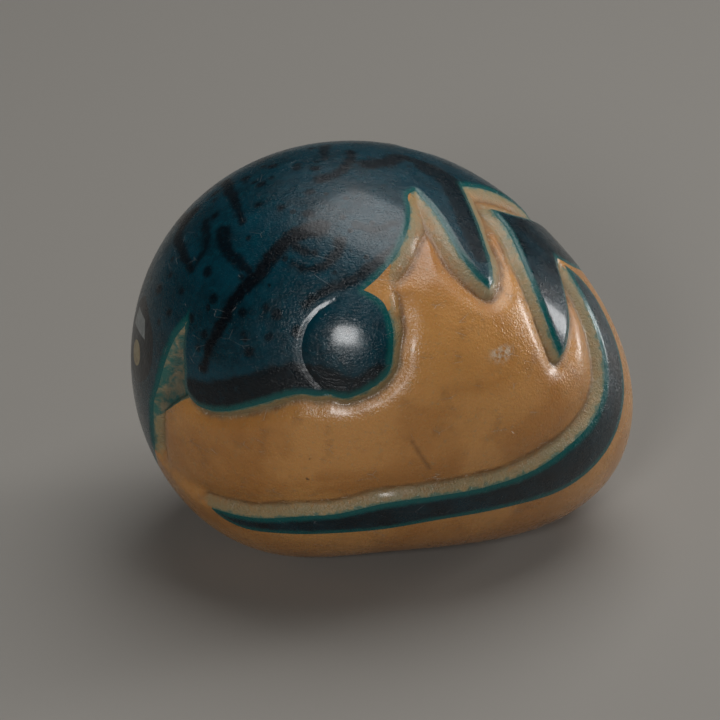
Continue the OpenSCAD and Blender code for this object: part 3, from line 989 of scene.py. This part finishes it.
class CarvedNutBody(bpy.types.Operator):
    """Makes the bare nut with its carved ground, its seats and its sanded flat"""

    bl_idname = "carved_nut.body"
    bl_label = "Bare nut"

    def execute(self, context):
        sizes = context.scene.nut_shape
        piece = carve_piece("carved_nut", list(ZONES), sizes.dye_depth / MM, bare=True, marks=[wear_and_highlight_marks])
        put_in_frame(piece, "nut_body", "bare_nut")
        return {"FINISHED"}


class CarvedNutHead(bpy.types.Operator):
    """Makes the dyed face and jaw"""

    bl_idname = "carved_nut.head"
    bl_label = "Face"

    def execute(self, context):
        deep = context.scene.nut_shape.dye_depth / MM
        piece = carve_piece("dyed_face", ["head"], deep, finer=True, marks=[with_ink_and_hem_shade])
        put_in_frame(piece, "head", "teal_dye")
        return {"FINISHED"}


class CarvedNutBack(bpy.types.Operator):
    """Makes the dyed back with its hem and its two rear points"""

    bl_idname = "carved_nut.back"
    bl_label = "Back"

    def execute(self, context):
        deep = context.scene.nut_shape.dye_depth / MM
        piece = carve_piece("dyed_back", ["back"], deep, finer=True, marks=[with_ink_and_hem_shade])
        put_in_frame(piece, "back", "teal_dye")
        return {"FINISHED"}


class CarvedNutKnobs(bpy.types.Operator):
    """Makes the domed elbow knob on each side"""

    bl_idname = "carved_nut.knobs"
    bl_label = "Elbow knobs"

    def execute(self, context):
        deep = context.scene.nut_shape.dye_depth / MM
        for side in ("left", "right"):
            node = "side_knob_" + side
            piece = carve_piece("elbow_knob_" + side, [node], deep, finer=True, marks=[with_ink_and_hem_shade])
            put_in_frame(piece, node, "teal_dye")
        return {"FINISHED"}


class CarvedNutLeafAndTail(bpy.types.Operator):
    """Makes the dyed leaf on the rump and the tail that curls round the left side"""

    bl_idname = "carved_nut.leaf_and_tail"
    bl_label = "Leaf and tail"

    def execute(self, context):
        deep = context.scene.nut_shape.dye_depth / MM
        for name, node in (("dyed_leaf", "rump_leaf"), ("dyed_tail", "tail")):
            piece = carve_piece(name, [node], deep, finer=True, marks=[with_ink_and_hem_shade])
            put_in_frame(piece, node, "teal_dye")
        return {"FINISHED"}


class CarvedNutCheeks(bpy.types.Operator):
    """Makes the thinly washed groove behind each cheek"""

    bl_idname = "carved_nut.cheeks"
    bl_label = "Cheek grooves"

    def execute(self, context):
        deep = context.scene.nut_shape.dye_depth / MM
        for side in ("left", "right"):
            node = "cheek_groove_" + side
            piece = carve_piece("washed_groove_" + side, [node], deep)
            put_in_frame(piece, node, "thin_wash")
        return {"FINISHED"}


class CarvedNutEyes(bpy.types.Operator):
    """Makes each eye: the dark almond with its pale corner and bare pupil let into it"""

    bl_idname = "carved_nut.eyes"
    bl_label = "Eyes"

    def execute(self, context):
        sizes = context.scene.nut_shape
        deep, inlay = sizes.dye_depth / MM, sizes.inlay_depth / MM
        for side in ("left", "right"):
            let_in = ["eye_white_" + side, "pupil_" + side]
            almond = carve_piece("eye_almond_" + side, ["eye_" + side], deep, let_in, inlay)
            put_in_frame(almond, "eye_" + side, "eye_ink")
            pale = carve_piece("eye_corner_" + side, [let_in[0]], inlay)
            put_in_frame(pale, let_in[0], "eye_white")
            pupil = carve_piece("eye_pupil_" + side, [let_in[1]], inlay)
            put_in_frame(pupil, let_in[1], "pupil")
        return {"FINISHED"}


class CarvedNutStage(bpy.types.Operator):
    """Makes the pale floor, the soft lights and the camera"""

    bl_idname = "carved_nut.stage"
    bl_label = "Stage"

    def execute(self, context):
        pale_floor()
        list(softboxes())
        main_camera()
        return {"FINISHED"}


def pale_floor():
    bm = bmesh.new()
    bmesh.ops.create_grid(bm, x_segments=2, y_segments=2, size=3.0)
    mesh = bpy.data.meshes.new("pale_floor")
    bm.to_mesh(mesh)
    bm.free()
    material = bpy.data.materials.new("Pale floor")
    material.use_nodes = True
    shader = material.node_tree.nodes["Principled BSDF"]
    shader.inputs["Base Color"].default_value = (0.26, 0.245, 0.222, 1)
    shader.inputs["Roughness"].default_value = 0.75
    mesh.materials.append(material)
    floor = bpy.data.objects.new("pale_floor", mesh)
    floor.location.z = -0.00005
    bpy.context.scene.collection.objects.link(floor)
    return floor


def softbox(name, place, aim, width, height, watts):
    lamp = bpy.data.lights.new(name, "AREA")
    lamp.shape, lamp.size, lamp.size_y = "RECTANGLE", width, height
    lamp.energy = watts
    box = bpy.data.objects.new(name, lamp)
    box.location = place
    box.rotation_euler = (Vector(aim) - Vector(place)).to_track_quat("-Z", "Y").to_euler()
    bpy.context.scene.collection.objects.link(box)
    return box


def softboxes():
    aim = (0, 0, 0.02)
    world = bpy.data.worlds.new("Soft room")
    world.use_nodes = True
    room = world.node_tree.nodes["Background"]
    room.inputs["Color"].default_value = (0.55, 0.56, 0.58, 1)
    room.inputs["Strength"].default_value = 0.035
    bpy.context.scene.world = world
    return [
        softbox("overhead_softbox", (0.12, 0.15, 0.50), aim, 0.50, 0.42, 2.1),
        softbox("camera_softbox", (-0.11, -0.46, 0.25), aim, 0.095, 0.095, 0.95),
        softbox("rear_right_softbox", (0.50, 0.20, 0.12), aim, 0.10, 0.18, 1.0),
    ]


def main_camera():
    """A long lens from the left side, 27 degrees above the floor."""
    tilt, gap = math.radians(27), 0.3265
    camera = bpy.data.cameras.new("main_camera")
    camera.lens, camera.sensor_width = 150, 36
    camera.clip_start = 0.02
    view = bpy.data.objects.new("main_camera", camera)
    toward_lens = Vector((0, -math.cos(tilt), math.sin(tilt)))
    upward = Vector((0, math.sin(tilt), math.cos(tilt)))
    aim = Vector(CENTRE) * MM - Vector((1.6 * MM, 0, 0)) - upward * (2.15 * MM)
    view.location = aim + toward_lens * gap
    view.rotation_euler = (-toward_lens).to_track_quat("-Z", "Y").to_euler()
    bpy.context.scene.collection.objects.link(view)
    bpy.context.scene.camera = view
    bpy.context.scene.view_settings.view_transform = "Standard"
    return view


class CarvedNutPanel(bpy.types.Panel):
    bl_label = "Carved Nut"
    bl_idname = "VIEW3D_PT_carved_nut"
    bl_space_type = "VIEW_3D"
    bl_region_type = "UI"
    bl_category = "Carved Nut"

    def draw(self, context):
        for operator in OPERATORS:
            self.layout.operator(operator.bl_idname)
        for group in (context.scene.nut_shape, context.scene.nut_colours):
            box = self.layout.box()
            for key in group.__annotations__:
                box.prop(group, key)


OPERATORS = (
    CarvedNutBody, CarvedNutHead, CarvedNutBack, CarvedNutKnobs, CarvedNutLeafAndTail,
    CarvedNutCheeks, CarvedNutEyes, CarvedNutStage,
)
CLASSES = (NutShape, NutColours, *OPERATORS, CarvedNutPanel)


def register():
    for cls in CLASSES:
        bpy.utils.register_class(cls)
    bpy.types.Scene.nut_shape = bpy.props.PointerProperty(type=NutShape)
    bpy.types.Scene.nut_colours = bpy.props.PointerProperty(type=NutColours)


def unregister():
    del bpy.types.Scene.nut_colours
    del bpy.types.Scene.nut_shape
    for cls in reversed(CLASSES):
        bpy.utils.unregister_class(cls)


def main():
    register()
    bpy.ops.carved_nut.body()
    bpy.ops.carved_nut.head()
    bpy.ops.carved_nut.back()
    bpy.ops.carved_nut.knobs()
    bpy.ops.carved_nut.leaf_and_tail()
    bpy.ops.carved_nut.cheeks()
    bpy.ops.carved_nut.eyes()
    bpy.ops.carved_nut.stage()
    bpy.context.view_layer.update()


if __name__ == "__main__":
    main()
